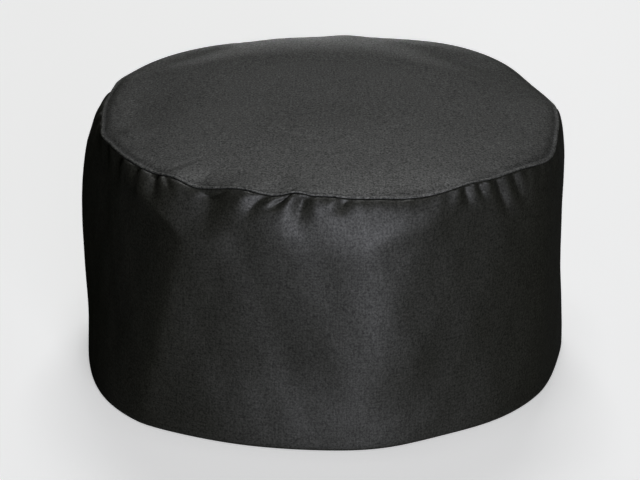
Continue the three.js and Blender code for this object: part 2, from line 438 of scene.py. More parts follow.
@dataclass(frozen=True)
class HatShape:
    """The hat's outlines, wall, seam and crown, before the cloth is laid along them."""

    rim: Oval = Oval(half_width=93.6, half_depth=97.6, squareness=2.2, shift_x=0.5)
    seam: Oval = Oval(half_width=88.6, half_depth=91.6, squareness=2.2, shift_x=3.9)
    seam_height: float = 99.0
    top_shift_x: float = 1.2
    belly: float = 0.8
    shoulder_height: float = 28
    shoulder_extra: float = 12
    shoulder_at: float = -95
    shoulder_spread: float = 45
    shoulder_roundness: float = 2.2
    low_fullness_ends: float = 0.5
    high_fullness: Point = (0.45, 0.85)
    bend_radius: float = 95
    bend_turns: Point = (0.8, 0.96)
    flatness_at_rim: float = 0.35
    flatness_grows_to: float = 0.35
    crown_rise: float = 4.2
    crown_rounding: float = 4
    waves_fade: float = 13
    folds_fade: Point = (0.02, 0.16)
    slope_step: Point = (0.5, 0.004)

    def seam_point(self, degrees: Array, inset: float = 0) -> Array:
        """The seam between band and crown.

        Args:
            degrees: Directions.
            inset: How far inside the outer face the line lies.

        Returns:
            The seam's points.
        """
        out = sum(wave.out * bell(degrees, wave.at, wave.spread) for wave in SEAM_WAVES)
        up = sum(wave.up * bell(degrees, wave.at, wave.spread) for wave in SEAM_WAVES)
        radius = self.seam.radius(degrees) + out - inset
        return place(degrees, radius, self.seam.shift_x, self.seam_height + up - inset)

    def fullness(self, degrees: Array, t: Array) -> Array:
        """How far the wall swells outwards.

        Args:
            degrees: Directions.
            t: Parts of the way up from the rim to the seam.

        Returns:
            The swelling in mm.
        """
        low = 1 - smooth(t, 0, self.low_fullness_ends)
        high = smooth(t, *self.high_fullness)
        middle = 1 - low - high
        return sum(
            bell(degrees, row.at, row.spread) * (row.low * low + row.middle * middle + row.high * high)
            for row in FULLNESS
        )

    def flattening(self, degrees: Array, t: Array) -> Array:
        """How far a stretch between two bends lies inside the round of the wall.

        Args:
            degrees: Directions.
            t: Parts of the way up from the rim to the seam.

        Returns:
            The distance inwards in mm.
        """
        inwards = np.zeros(np.broadcast(degrees, t).shape)
        for bend, following in zip(BENDS, BENDS[1:] + BENDS[:1]):
            start = bend.at(t, self.bend_turns)
            span = (following.at(t, self.bend_turns) - start) % 360
            along = (degrees - start) % 360 / span
            usual_span = lerp(following.low - bend.low, following.high - bend.high, t) % 360
            sagitta = self.bend_radius * (1 - np.cos(np.radians(usual_span / 2)))
            arch = np.clip(4 * along * (1 - along), 0, 1)
            rounding = lerp(bend.rounding, following.rounding, along)
            rounded = (np.sqrt(arch**2 + rounding**2) - rounding) / (np.sqrt(1 + rounding**2) - rounding)
            inwards = np.where(along < 1, bend.flatness * sagitta * rounded, inwards)
        return inwards * lerp(self.flatness_at_rim, 1, smooth(t, 0, self.flatness_grows_to))

    def wall(self, degrees: Array, t: Array, inset: float | Array = 0) -> Array:
        """The smooth wall, before its gathers.

        Args:
            degrees: Directions.
            t: Parts of the way up from the rim to the seam.
            inset: How far inside the outer face the point lies.

        Returns:
            Points of the wall.
        """
        seam = self.seam_point(degrees, inset)
        height = seam[..., 2] * t
        swell = self.fullness(degrees, t) - self.flattening(degrees, t) + self.belly * np.sin(np.pi * t)
        dented = sum(dent.shown(degrees, height) for dent in DENTS)
        radius = self.rim.radius(degrees) + swell - dented - inset
        points = place(degrees, radius, lerp(self.rim.shift_x, self.top_shift_x, t), height)
        extra = self.shoulder_extra * bell(degrees, self.shoulder_at, self.shoulder_spread)
        into = np.clip(1 - (seam[..., 2] - height) / (self.shoulder_height + extra), 0, 1)
        turned_in = 1 - np.sqrt(1 - into**self.shoulder_roundness)
        points[..., :2] = lerp(points[..., :2], seam[..., :2], turned_in[..., None])
        return points

    def outwards(self, degrees: Array, t: Array) -> Array:
        """Directions square to the smooth wall, away from the head.

        Args:
            degrees: Directions round the hat.
            t: Parts of the way up from the rim to the seam.

        Returns:
            Vectors of length 1.
        """
        aside, up = self.slope_step
        onwards = self.wall(degrees + aside, t) - self.wall(degrees - aside, t)
        upwards = self.wall(degrees, np.minimum(t + up, 1)) - self.wall(degrees, t - up)
        across = np.cross(onwards, upwards)
        return across / np.linalg.norm(across, axis=-1, keepdims=True)

    def down_from_seam(self, degrees: Array, t: Array) -> Array:
        """The way along the cloth from the seam down to each point, in mm."""
        way = self.seam_point(degrees) - self.wall(degrees, t)
        return way[..., 2] + np.linalg.norm(way[..., :2], axis=-1)

    def crown_point(self, degrees: Array, inwards: Array, above: float | Array = 0) -> Array:
        """The crown's underside.

        Args:
            degrees: Directions.
            inwards: Parts of the way from the seam to the middle.
            above: Height over the underside.

        Returns:
            Points of the crown.
        """
        points = self.seam_point(degrees) * np.ones(np.broadcast(degrees, inwards).shape + (1,))
        outwards = np.clip(1 - inwards, 0, None)
        ease, settled = 1 - outwards**self.crown_rounding, 1 - outwards**self.waves_fade
        points[..., :2] *= (1 - inwards)[..., None]
        points[..., 2] = lerp(points[..., 2], self.seam_height, settled) + self.crown_rise * ease + above
        folds = sum(fold.rise(points[..., 0], points[..., 1]) for fold in CROWN_FOLDS)
        points[..., 2] += folds * smooth(inwards, *self.folds_fade)
        return points

    def seam_radius(self, degrees: Array) -> Array:
        """The seam's distance from the middle, for steps in mm across the crown."""
        return np.linalg.norm(self.seam_point(degrees)[..., :2], axis=-1)


# Meshes of cloth and thread


def new_piece(name: str, points: Array, faces: Sequence[Sequence[int]]) -> bpy.types.Object:
    """Makes a smooth mesh object and links it to the scene.

    Args:
        name: Its name.
        points: Its points in mm.
        faces: The corners of each face.

    Returns:
        The object.
    """
    mesh = bpy.data.meshes.new(name)
    mesh.from_pydata((points * MM).tolist(), [], faces)
    mesh.polygons.foreach_set("use_smooth", np.ones(len(mesh.polygons), bool))
    mesh.update()
    piece = bpy.data.objects.new(name, mesh)
    bpy.context.scene.collection.objects.link(piece)
    return piece


@dataclass
class RingMesh:
    """A closed body of cloth through rings of points, with its cloth map and its paler edges: rubbed wear,
    and a painted highlight on the crown's rolled edge.
    """

    name: str
    rings: Array
    cloth_map: Array
    paling_mask: Array
    tube: bool

    def faces(self) -> tuple[Array, Array]:
        """Lists the faces between the rings.

        Returns:
            The corners of each face, and for each corner its place on the cloth map.
        """
        count, columns = self.rings.shape[:2]
        last = count if self.tube else count - 1
        row, column = np.meshgrid(np.arange(last), np.arange(columns), indexing="ij")
        corners = ((0, 0), (0, 1), (1, 1), (1, 0))
        vertex = [(row + up) % count * columns + (column + on) % columns for up, on in corners]
        mapped = [(row + up) * (columns + 1) + column + on for up, on in corners]
        return np.stack(vertex, -1).reshape(-1, 4), np.stack(mapped, -1).reshape(-1, 4)

    def build(self) -> bpy.types.Object:
        """Makes the mesh object, with a fan of faces over each end where it isn't a tube.

        Returns:
            The object, linked to the scene.
        """
        count, columns = self.rings.shape[:2]
        vertex, mapped = self.faces()
        points = self.rings.reshape(-1, 3)
        faces = vertex.tolist()
        corner_maps = [self.cloth_map.reshape(-1, 2)[mapped.ravel()]]
        paling_mask = self.paling_mask.ravel()
        if not self.tube:
            points = np.concatenate([points, [self.rings[0].mean(0), self.rings[-1].mean(0)]])
            paling_mask = np.concatenate([paling_mask, [0, 0]])
            around = np.arange(columns)
            onward = (around + 1) % columns
            top = (count - 1) * columns
            fans = (
                (onward, around, 0, count * columns, self.cloth_map[0]),
                (around + top, onward + top, top, count * columns + 1, self.cloth_map[-1]),
            )
            for first, second, start, pole, ring_map in fans:
                faces += [[a, b, pole] for a, b in zip(first.tolist(), second.tolist())]
                middle = np.tile(ring_map[:-1].mean(0), (columns, 1))
                spots = [ring_map[first - start], ring_map[second - start], middle]
                corner_maps.append(np.stack(spots, 1).reshape(-1, 2))
        piece = new_piece(self.name, points, faces)
        layer = piece.data.uv_layers.new(name=CLOTH_MAP)
        layer.uv.foreach_set("vector", (np.concatenate(corner_maps) * MM).astype(np.float32).ravel())
        edge = piece.data.attributes.new(PALED_EDGE, "FLOAT", "POINT")
        edge.data.foreach_set("value", paling_mask.astype(np.float32))
        return piece


@dataclass
class ThreadRow:
    """A row of machine stitches: short arched threads that lie on a closed line of points.

    The bluntness is 1 for threads with pointed ends, and least keeps the ends from closing up.
    """

    name: str
    line: Array
    up: Array
    stitch: float = 2.9
    shown: float = 0.8
    thickness: float = 0.42
    lift: float = 0.06
    sink: float = 0.3
    sides: int = 6
    steps: int = 7
    bluntness: float = 1.02
    least: float = 0.02

    def spread(self, values: Array, lengths: Array, where: Array) -> Array:
        """Values given along the closed line, read at lengths along it."""
        closed = np.concatenate([values, values[:1]])
        return np.stack([np.interp(where, lengths, closed[:, axis]) for axis in range(3)], -1)

    def build(self) -> bpy.types.Object:
        """Makes the stitches as one mesh.

        Returns:
            The object, linked to the scene.
        """
        closed = np.concatenate([self.line, self.line[:1]])
        lengths = np.concatenate([[0], np.cumsum(np.linalg.norm(np.diff(closed, axis=0), axis=1))])
        count = round(lengths[-1] / self.stitch)
        pitch = lengths[-1] / count
        along = np.linspace(-0.5, 0.5, self.steps)
        where = (np.arange(count)[:, None] + 0.5 + along * self.shown) * pitch
        spine = self.spread(self.line, lengths, where)
        normal = self.spread(self.up, lengths, where)
        normal /= np.linalg.norm(normal, axis=-1, keepdims=True)
        arch = 1 - (2 * np.abs(along)) ** 3
        spine += normal * lerp(-self.sink, self.lift, arch)[None, :, None]
        onwards = np.gradient(spine, axis=1)
        onwards /= np.linalg.norm(onwards, axis=-1, keepdims=True)
        aside = np.cross(onwards, normal)
        turn = np.linspace(0, 2 * np.pi, self.sides, endpoint=False)[None, None, :, None]
        radius = self.thickness / 2 * np.sqrt(np.clip(self.bluntness - (2 * along) ** 4, self.least, 1))
        round_it = aside[:, :, None] * np.cos(turn) + normal[:, :, None] * np.sin(turn)
        points = spine[:, :, None] + round_it * radius[None, :, None, None]
        number = np.arange(points.size // 3).reshape(points.shape[:3])
        low, high = number[:, :-1], number[:, 1:]
        sides = np.stack([low, high, np.roll(high, -1, 2), np.roll(low, -1, 2)], -1).reshape(-1, 4)
        faces = sides.tolist() + number[:, 0].tolist() + number[:, -1, ::-1].tolist()
        return new_piece(self.name, points.reshape(-1, 3), faces)


# Shader node groups and finishes


class Socket(Enum):
    """Kinds of socket that the groups have."""

    NUMBER = "NodeSocketFloat"
    VECTOR = "NodeSocketVector"


class NodeSheet:
    """Places and links the nodes of one node tree."""

    def __init__(self, tree: bpy.types.NodeTree) -> None:
        """Starts an empty sheet on the tree."""
        self.tree = tree
        tree.nodes.clear()

    def put(self, kind: str, inputs: Inputs | None = None, **settings: object) -> bpy.types.Node:
        """Adds a node.

        Args:
            kind: The node's type in Blender.
            inputs: Values or output sockets for its inputs.
            **settings: Properties of the node.

        Returns:
            The node.
        """
        node = self.tree.nodes.new(kind)
        for name, value in settings.items():
            setattr(node, name, value)
        for key, value in (inputs or {}).items():
            if isinstance(value, Output):
                self.tree.links.new(value, node.inputs[key])
            else:
                node.inputs[key].default_value = value
        return node

    def sum(self, operation: str, *values: object, clamp: bool = False) -> Output:
        """Adds a Math node.

        Args:
            operation: The node's operation.
            *values: Its inputs in order.
            clamp: Whether the result is kept from 0 to 1.

        Returns:
            Its output.
        """
        node = self.put("ShaderNodeMath", dict(enumerate(values)), operation=operation, use_clamp=clamp)
        return node.outputs[0]

    def vector(self, operation: str, inputs: Inputs) -> Output:
        """Adds a Vector Math node and gives its output."""
        return self.put("ShaderNodeVectorMath", inputs, operation=operation).outputs[0]

    def noise(self, vector: Output, size: float, detail: float = 2, rough: float = 0.5) -> Output:
        """Adds a noise texture.

        Args:
            vector: Coordinates in metres.
            size: The usual size of its blots, in mm.
            detail: Layers of finer noise.
            rough: How strong each finer layer is.

        Returns:
            Its value.
        """
        inputs = {"Vector": vector, "Scale": 1 / (size * MM), "Detail": detail, "Roughness": rough}
        return self.put("ShaderNodeTexNoise", inputs).outputs["Fac"]

    def span(self, value: object, start: float, end: float, low: float, high: float) -> Output:
        """A value remapped from start..end to low..high, and kept inside it."""
        inputs = {"Value": value, "From Min": start, "From Max": end, "To Min": low, "To Max": high}
        return self.put("ShaderNodeMapRange", inputs, clamp=True).outputs["Result"]

    def mix(self, part: Output, first: Output | Colour, second: Output | Colour) -> Output:
        """Mixes two colours.

        Args:
            part: How much of the second one shows.
            first: The colour at 0.
            second: The colour at 1.

        Returns:
            The mixed colour.
        """
        inputs = {"Factor": part}
        for key, colour in ((MIX_FIRST, first), (MIX_SECOND, second)):
            inputs[key] = colour if isinstance(colour, Output) else (*colour, 1)
        return self.put("ShaderNodeMix", inputs, data_type="RGBA").outputs[MIX_RESULT]

    def bump(self, height: Output, depth: float, over: Inputs | None = None) -> Output:
        """Adds a bump.

        Args:
            height: Its height from 0 to 1.
            depth: What 1 stands for, in mm.
            over: The normal that it lies on, if not the surface's own.

        Returns:
            The bumped normal.
        """
        inputs = {"Height": height, "Distance": depth * MM, "Strength": 1.0, **(over or {})}
        return self.put("ShaderNodeBump", inputs).outputs[0]

    def surface(self, inputs: Inputs) -> None:
        """Ends a material with its shader."""
        shader = self.put("ShaderNodeBsdfPrincipled", inputs)
        self.put("ShaderNodeOutputMaterial", {"Surface": shader.outputs[0]})


def new_material(name: str) -> tuple[bpy.types.Material, NodeSheet]:
    """Starts a material.

    Args:
        name: Its name.

    Returns:
        The material, and the empty sheet of its nodes.
    """
    made = bpy.data.materials.new(name)
    made.use_nodes = True
    return made, NodeSheet(made.node_tree)


class Effect:
    """A shader node group, built once and then placed in each material that uses it."""

    name = ""
    takes: dict[str, Socket] = {}
    gives: tuple[str, ...] = ()

    def group(self) -> bpy.types.NodeTree:
        """The group, made on first use.

        Returns:
            The node group.
        """
        made = bpy.data.node_groups.get(self.name)
        if made:
            return made
        made = bpy.data.node_groups.new(self.name, "ShaderNodeTree")
        for name, kind in self.takes.items():
            made.interface.new_socket(name=name, in_out="INPUT", socket_type=kind.value)
        for name in self.gives:
            made.interface.new_socket(name=name, in_out="OUTPUT", socket_type=Socket.NUMBER.value)
        sheet = NodeSheet(made)
        source = sheet.put("NodeGroupInput").outputs
        sheet.put("NodeGroupOutput", self.draw(sheet, source))
        return made

    def draw(self, sheet: NodeSheet, source: bpy.types.NodeOutputs) -> dict[str, Output]:
        """Draws the effect's nodes. Each kind of effect has its own.

        Args:
            sheet: The group's nodes.
            source: The group's inputs.

        Returns:
            The socket for each output.
        """
        raise NotImplementedError

    def use(self, sheet: NodeSheet, inputs: Inputs) -> bpy.types.NodeOutputs:
        """Places the group in a material and gives the group node's outputs."""
        return sheet.put("ShaderNodeGroup", inputs, node_tree=self.group()).outputs


class PlainWeave(Effect):
    """Warp and weft threads passing over and under each other."""

    name = "plain_weave"
    takes = {"Cloth": Socket.VECTOR, "Threads per mm": Socket.NUMBER, "Slub": Socket.NUMBER}
    gives = ("Height", "Shade")
    wander_size, wander = 3.0, 1.2
    slub_size, slub_length = 0.5, 0.06
    # How dark the dips and how light the crests of the weave are painted
    deep_shade, high_shade = 0.92, 1.05

    def thread(self, sheet: NodeSheet, over: Output, along: Output, lead: float) -> Output:
        """Draws one set of threads, rounded across and wavy along their length.

        Args:
            sheet: The group's nodes.
            over: The place across the threads, counted in threads.
            along: The place along them.
            lead: Where on its wave each thread starts.

        Returns:
            Their height.
        """
        rounded = sheet.sum("ABSOLUTE", sheet.sum("SINE", sheet.sum("MULTIPLY", over, math.pi)))
        parity = sheet.sum("MULTIPLY", sheet.sum("FLOOR", over), math.pi)
        phase = sheet.sum("MULTIPLY_ADD", along, math.pi, parity)
        wave = sheet.sum("SINE", sheet.sum("ADD", phase, lead))
        return sheet.sum("MULTIPLY", rounded, sheet.sum("MULTIPLY_ADD", wave, 0.5, 0.5))

    def draw(self, sheet: NodeSheet, source: bpy.types.NodeOutputs) -> dict[str, Output]:
        """Draws the two sets of threads and takes the higher one.

        Args:
            sheet: The group's nodes.
            source: The group's inputs.

        Returns:
            Height of the threads, and how light each thread is: its own slubs, with painted shade where it
            dips under the other threads and a painted highlight on its crests.
        """
        cloth, slub = source["Cloth"], source["Slub"]
        per_metre = sheet.sum("MULTIPLY", source["Threads per mm"], 1 / MM)
        apart = sheet.put("ShaderNodeSeparateXYZ", {0: cloth}).outputs
        aside = sheet.sum("SUBTRACT", sheet.noise(cloth, self.wander_size, 1), 0.5)
        drift = sheet.sum("MULTIPLY", aside, self.wander)
        across = sheet.sum("MULTIPLY_ADD", apart["X"], per_metre, drift)
        upright = sheet.sum("MULTIPLY_ADD", apart["Y"], per_metre, drift)
        warp = self.thread(sheet, across, upright, 0)
        weft = self.thread(sheet, upright, across, math.pi)
        slubs = [
            sheet.noise(sheet.vector("MULTIPLY", {0: cloth, 1: stretch}), self.slub_size, 1)
            for stretch in ((1, self.slub_length, 1), (self.slub_length, 1, 1))
        ]
        uneven = sheet.sum("SUBTRACT", sheet.sum("ADD", *slubs), 1)
        height = sheet.sum("MAXIMUM", warp, weft)
        thickness = sheet.sum("MULTIPLY_ADD", uneven, slub, 1)
        # Painted shade where the threads dip under each other, painted highlight on their crests
        lit = sheet.span(height, 0, 1, self.deep_shade, self.high_shade)
        shade = sheet.sum("MULTIPLY_ADD", uneven, slub, lit)
        return {"Height": sheet.sum("MULTIPLY", height, thickness), "Shade": shade}


class DyedVariation(Effect):
    """Slight changes of shade in dyed cloth: broad clouds, and the fine speckle of its threads."""

    name = "dyed_variation"
    takes = {"Place": Socket.VECTOR, "Cloud": Socket.NUMBER, "Speckle": Socket.NUMBER}
    gives = ("Shade", "Grain")
    cloud_noise = {"size": 34, "detail": 3, "rough": 0.55}
    grain_noise = {"size": 0.75, "detail": 2, "rough": 0.7}
    darkest = 0.2

    def draw(self, sheet: NodeSheet, source: bpy.types.NodeOutputs) -> dict[str, Output]:
        """Draws the clouds and the speckle.

        Args:
            sheet: The group's nodes.
            source: The group's inputs.

        Returns:
            A shade round 1, and the speckle alone for the bump.
        """
        clouds = sheet.sum("SUBTRACT", sheet.noise(source["Place"], **self.cloud_noise), 0.5)
        grain = sheet.sum("SUBTRACT", sheet.noise(source["Place"], **self.grain_noise), 0.5)
        tone = sheet.sum("MULTIPLY_ADD", clouds, sheet.sum("MULTIPLY", source["Cloud"], 2), 1)
        shade = sheet.sum("MULTIPLY_ADD", grain, sheet.sum("MULTIPLY", source["Speckle"], 2), tone)
        return {"Shade": sheet.sum("MAXIMUM", shade, self.darkest), "Grain": sheet.sum("ADD", grain, 0.5)}


class LintSpecks(Effect):
    """Rare short pale fibres caught on the cloth."""

    name = "lint_specks"
    takes = {"Place": Socket.VECTOR, "Share": Socket.NUMBER}
    gives = ("Mask",)
    bend_scale, bend = 900.0, (0.0012, 0.0012, 0.0012)
    cells_per_metre = 125.0
    fibre_inside, fibre_outside = 0.03, 0.05

    def draw(self, sheet: NodeSheet, source: bpy.types.NodeOutputs) -> dict[str, Output]:
        """Draws a small spot in a few cells of a loose pattern of cells.

        Args:
            sheet: The group's nodes.
            source: The group's inputs.

        Returns:
            1 on a fibre and 0 elsewhere.
        """
        spot = source["Place"]
        bent = sheet.put("ShaderNodeTexNoise", {"Vector": spot, "Scale": self.bend_scale, "Detail": 1.0})
        moved = sheet.vector("MULTIPLY_ADD", {0: bent.outputs["Color"], 1: self.bend, 2: spot})
        cells = {"Vector": moved, "Scale": self.cells_per_metre, "Randomness": 1.0}
        cell = sheet.put("ShaderNodeTexVoronoi", cells).outputs
        pick = sheet.put("ShaderNodeSeparateColor", {0: cell["Color"]}).outputs["Red"]
        few = sheet.sum("LESS_THAN", pick, source["Share"])
        fibre = sheet.span(cell["Distance"], self.fibre_inside, self.fibre_outside, 1, 0)
        return {"Mask": sheet.sum("MULTIPLY", few, fibre)}


class EdgePaling(Effect):
    """A paler look along folded edges, broken up by the cloth's own grain: rubbed wear on the band's rim, and
    a painted highlight with some wear on the crown's rolled edge.
    """

    name = "edge_paling"
    takes = {"Edge": Socket.NUMBER, "Place": Socket.VECTOR, "Amount": Socket.NUMBER}
    gives = ("Mask",)
    broken_noise = {"size": 2.2, "detail": 3, "rough": 0.65}
    broken_span = {"start": 0.36, "end": 0.66, "low": 0.15, "high": 1}

    def draw(self, sheet: NodeSheet, source: bpy.types.NodeOutputs) -> dict[str, Output]:
        """Draws the edge mask times a broken noise.

        Args:
            sheet: The group's nodes.
            source: The group's inputs.

        Returns:
            1 where the edge is palest.
        """
        broken = sheet.span(sheet.noise(source["Place"], **self.broken_noise), **self.broken_span)
        mask = sheet.sum("MULTIPLY", source["Edge"], broken)
        return {"Mask": sheet.sum("MULTIPLY", mask, source["Amount"], clamp=True)}


@dataclass(frozen=True)
class ClothFinish:
    """Closely woven black cotton-blend cloth with a faint gloss that follows its dyed shade."""

    name: str
    colour: Colour
    # The pale edge colour and its strength: rubbed wear on the band's rim, and a painted highlight with some
    # wear on the crown's edge
    pale_edge_colour: Colour = (0.075, 0.076, 0.08)
    lint_colour: Colour = (0.3, 0.31, 0.33)
    roughness: float = 0.6
    uneven_roughness: float = 0.3
    specular: float = 0.05
    gloss: float = 0.5
    gloss_ior: float = 2.1
    threads_per_mm: float = 2.2
    slub: float = 0.5
    cloud: float = 0.12
    speckle: float = 1.25
    lint: float = 0.02
    paling: float = 0.24
    weave_depth: float = 0.035
    grain_depth: float = 0.14

    def material(self) -> bpy.types.Material:
        """Builds the cloth.

        Returns:
            The material.
        """
        made, sheet = new_material(self.name)
        cloth = sheet.put("ShaderNodeUVMap", uv_map=CLOTH_MAP).outputs["UV"]
        spot = sheet.put("ShaderNodeTexCoord").outputs["Object"]
        edge = sheet.put("ShaderNodeAttribute", attribute_name=PALED_EDGE).outputs["Fac"]
        threads = {"Cloth": cloth, "Threads per mm": self.threads_per_mm, "Slub": self.slub}
        weave = PlainWeave().use(sheet, threads)
        dyed = DyedVariation().use(sheet, {"Place": spot, "Cloud": self.cloud, "Speckle": self.speckle})
        lint = LintSpecks().use(sheet, {"Place": spot, "Share": self.lint})
        # Paler folded edges: rubbed wear, and on the crown's edge a painted highlight
        paling_mask = EdgePaling().use(sheet, {"Edge": edge, "Place": spot, "Amount": self.paling})
        # The dyed tone times the weave's slubs and its painted shade and highlight
        shade = sheet.sum("MULTIPLY", weave["Shade"], dyed["Shade"])
        tinted = sheet.mix(paling_mask["Mask"], self.colour, self.pale_edge_colour)
        shaded = sheet.vector("SCALE", {0: tinted, "Scale": shade})
        uneven = sheet.sum("SUBTRACT", dyed["Grain"], 0.5)
        grain = sheet.bump(dyed["Grain"], self.grain_depth)
        sheet.surface(
            {
                "Base Color": sheet.mix(lint["Mask"], shaded, self.lint_colour),
                "Roughness": sheet.sum(
                    "MULTIPLY_ADD", uneven, self.uneven_roughness, self.roughness, clamp=True
                ),
                "Normal": sheet.bump(weave["Height"], self.weave_depth, {"Normal": grain}),
                "Specular IOR Level": self.specular,
                "Coat Weight": sheet.sum("MULTIPLY", shade, self.gloss, clamp=True),
                "Coat Roughness": self.roughness,
                "Coat IOR": self.gloss_ior,
            }
        )
        return made


@dataclass(frozen=True)
class ThreadFinish:
    """Black sewing thread, a little shinier than the cloth."""

    name: str
    colour: Colour = (0.02, 0.02, 0.021)
    roughness: float = 0.55
    sheen: float = 0.2
    cloud: float = 0.1
    speckle: float = 0.3
    twists_per_metre: float = 1000 / 7
    twist_wander: float = 1.5
    twist_depth: float = 0.05

    def material(self) -> bpy.types.Material:
        """Builds the thread.

        Returns:
            The material.
        """
        made, sheet = new_material(self.name)
        spot = sheet.put("ShaderNodeTexCoord").outputs["Object"]
        dyed = DyedVariation().use(sheet, {"Place": spot, "Cloud": self.cloud, "Speckle": self.speckle})
        twist = {"Vector": spot, "Scale": self.twists_per_metre, "Distortion": self.twist_wander}
        plies = sheet.put("ShaderNodeTexWave", twist, wave_type="BANDS", bands_direction="DIAGONAL")
        sheet.surface(
            {
                "Base Color": sheet.vector("SCALE", {0: self.colour, "Scale": dyed["Shade"]}),
                "Roughness": self.roughness,
                "Normal": sheet.bump(plies.outputs["Fac"], self.twist_depth),
                "Sheen Weight": self.sheen,
            }
        )
        return made


# The hat's two sub-assemblies


def spaced(steps: Sequence[Point], end: float) -> Array:
    """Rows that stand close together at first and further apart later.

    Args:
        steps: Pairs of a distance from the start and the step used from there on.
        end: Where the last row stands.

    Returns:
        The rows' distances, from 0 to end.
    """
    rows = [0.0]
    while rows[-1] < end:
        rows.append(rows[-1] + [size for start, size in steps if start <= rows[-1] + TINY][-1])
    made = np.array(rows)
    return made * (end / made[-1])


def columns_round(count: int, gathering: float = 0.22) -> Array:
    """Directions round the hat from the back seam on, a little closer together at the front.

    Args:
        count: How many there are.
        gathering: How much closer the front ones stand.

    Returns:
        The directions in degrees, with the first one repeated at the end as a full turn.
    """
    even = np.linspace(-180, 180, count + 1)
    return even - gathering * np.degrees(np.sin(np.radians(even)))


def paling_line(where: Array, at: float, width: float) -> Array:
    """A soft pale line round the hat, at one distance along the cloth: rubbed wear, and a painted highlight
    on the crown's edge.
    """
    return np.exp(-(((where - at) / width) ** 2))


@dataclass
class SideBand:
    """The tall band: one strip of cloth from its turned-in top edge down to its turned-up hem."""

    shape: HatShape
    cloth: float = 0.95
    columns: int = 680
    allowance: float = 7
    ledge_rows: Row = (5.2, 3.4, 1.8)
    ledge_start: float = 0.8
    ledge_edge: float = 0.35
    outer_steps: tuple[Point, ...] = ((0, 0.42), (5, 0.62), (12, 0.9), (24, 1.5), (40, 2.6))
    inner_steps: tuple[Point, ...] = ((0, 1.2), (8, 1.6), (24, 3.2), (40, 5))
    steps_reach: float = 100
    path_points: int = 4000
    shoulder_way: float = 4
    hem_height: float = 22
    hem_turn: float = 1.25
    hem_start: float = 1.6
    hem_end: float = 2.05
    hem_fold_rows: int = 11
    hem_rows: Row = (5, 10, 15, 19, 21.2)
    hem_back_rows: Row = (15, 8, 1.55)
    hem_edge: float = 0.2
    hem_slack: float = 0.15
    hem_lap: float = 0.1
    hem_foot: float = 0.25
    hem_way: float = 6
    gather_start: float = 1.4
    gather_keeps: float = 0.25
    gather_top_width: float = 0.62
    gather_widens: float = 0.75
    gather_sharpness: float = 1.6
    ridge: float = 0.14
    ridge_at: float = 2.1
    ridge_width: float = 1.1
    other_count: int = 21
    other_first: float = 66
    other_pitch: float = 10.4
    other_usual: Gather = Gather(at=0, lean=0, length=17, width=2.3, depth=1.3)
    other_stray: Gather = Gather(at=2.2, lean=3, length=5, width=0.35, depth=0.45)
    other_rate: Gather = Gather(at=2.4, lean=1.7, length=3.1, width=1.9, depth=5.3)
    crimp: float = 0.16
    crimp_length: float = 7
    ripples_fade: Point = (0.12, 12)
    back_seam: float = 0.35
    back_seam_width: float = 0.6
    back_seam_fade: Point = (0.5, 4)
    paling: float = 0.8
    wear_width: float = 1.6
    stitch_below_edge: float = 2.4
    stitch_out: float = 0.02
    cut: Point = (0.604, 0.133)
    # Black cloth tinted olive: the black is the cloth's own, and the olive is painted shade, the tint of the
    # shaded flanks
    finish: ClothFinish = ClothFinish(name="band_black_cloth", colour=(0.0118, 0.0119, 0.0068))
    gathers: list[Gather] = field(default_factory=list)

    def __post_init__(self) -> None:
        """Lists all the gathers: those seen at the front, and others of their kind round the rest."""
        usual, stray, rate = self.other_usual, self.other_stray, self.other_rate
        self.gathers = list(FRONT_GATHERS)
        for number in range(self.other_count):
            row = {
                part: getattr(usual, part) + getattr(stray, part) * math.sin(getattr(rate, part) * number)
                for part in ("at", "lean", "length", "width", "depth")
            }
            row["at"] += self.other_first + self.other_pitch * number
            self.gathers.append(Gather(**row))

    def gather_relief(self, degrees: Array, down: Array) -> Array:
        """Valleys of the gathers with the low ridges beside them.

        Args:
            degrees: Directions.
            down: The way down the cloth from the seam, in mm.

        Returns:
            How far the cloth stands out, in mm.
        """
        relief = np.zeros(np.broadcast(degrees, down).shape)
        for row in self.gathers:
            part = down / row.length
            width = row.width * (self.gather_top_width + self.gather_widens * part)
            away = ((degrees - row.at - row.lean * part + 180) % 360 - 180) / width
            away = np.abs(np.where(away > 0, away / row.right_side, away))
            valley = np.exp(-(away**self.gather_sharpness))
            ridges = np.exp(-(((away - self.ridge_at) / self.ridge_width) ** 2))
            shown = smooth(down, 0, self.gather_start) * (1 - smooth(part, self.gather_keeps, 1))
            relief -= row.depth * shown * (valley - self.ridge * ridges)
        return relief

    def fine_relief(self, degrees: Array, down: Array, t: Array) -> Array:
        """Small crimps at the seam, long ripples of the wall and the pressed seam at the back.

        Args:
            degrees: Directions.
            down: The way down the cloth from the seam, in mm.
            t: Parts of the way up from the rim to the seam.

        Returns:
            How far the cloth stands out, in mm.
        """
        turn = np.radians(degrees)
        near = smooth(down, 0, self.gather_start) * np.exp(-((down / self.crimp_length) ** 1.5))
        relief = self.crimp * puckers(degrees, WALL_CRIMPS) * near
        settled = smooth(t, 0, self.ripples_fade[0]) * smooth(down, 0, self.ripples_fade[1])
        for row in RIPPLES:
            phase = row.round * turn + 2 * np.pi * row.upright * t + row.start
            relief = relief + row.out * settled * np.sin(phase)
        groove = bell(degrees, 180, self.back_seam_width) * smooth(down, *self.back_seam_fade)
        return relief - self.back_seam * groove

    def face(self, degrees: Array, t: Array, inset: float | Array) -> Array:
        """The wall with its gathers, at an inset from the outer face.

        Args:
            degrees: Directions.
            t: Parts of the way up from the rim to the seam.
            inset: How far inside the outer face the points lie.

        Returns:
            Points of the wall.
        """
        down = self.shape.down_from_seam(degrees, t)
        relief = self.gather_relief(degrees, down) + self.fine_relief(degrees, down, t)
        return self.shape.wall(degrees, t, inset) + self.shape.outwards(degrees, t) * relief[..., None]

    def ring(self, degrees: Array, t: float, inset: float) -> Array:
        """One ring of the wall with its gathers."""
        return self.face(degrees, np.full((1, 1), t), inset)[0]

